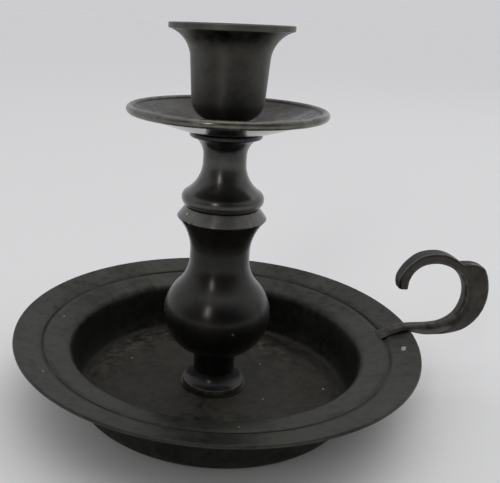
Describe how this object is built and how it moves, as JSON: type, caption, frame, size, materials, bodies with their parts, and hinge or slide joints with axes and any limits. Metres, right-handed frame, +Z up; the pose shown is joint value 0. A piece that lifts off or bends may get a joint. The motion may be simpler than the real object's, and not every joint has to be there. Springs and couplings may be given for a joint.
{
  "type": "chamberstick with finger loop",
  "caption": "Dark patinated brass chamberstick: a turned stem with a drip plate and a flared candle cup on a wide-rimmed round pan, carried by a cast scroll handle with a finger loop.",
  "frame": {"origin": "on the stem's axis, at the surface that the pan's stand ring rests on", "axes": "+Z up along the stem, +X from the stem towards the handle"},
  "size_m": [0.18, 0.1518, 0.1367],
  "materials": {
    "spun_pan": "dark brown-black patina on spun sheet brass, satin, mottled and worn",
    "turned_stem": "near-black patina on turned brass, smooth satin with worn edges",
    "cast_handle": "dark purple-brown patina on cast brass, slightly rough",
    "bare_brass": "dull tarnished brass with little patina"
  },
  "bodies": {
    "root": {"pan": "spun_pan", "seat_washer": "bare_brass", "lower_stem": "turned_stem", "upper_stem": "turned_stem", "drip_plate": "turned_stem", "candle_cup": "turned_stem", "handle": "cast_handle", "handle_rivets": "cast_handle", "base_washer": "bare_brass", "base_screw": "bare_brass"}
  },
  "joints": []
}
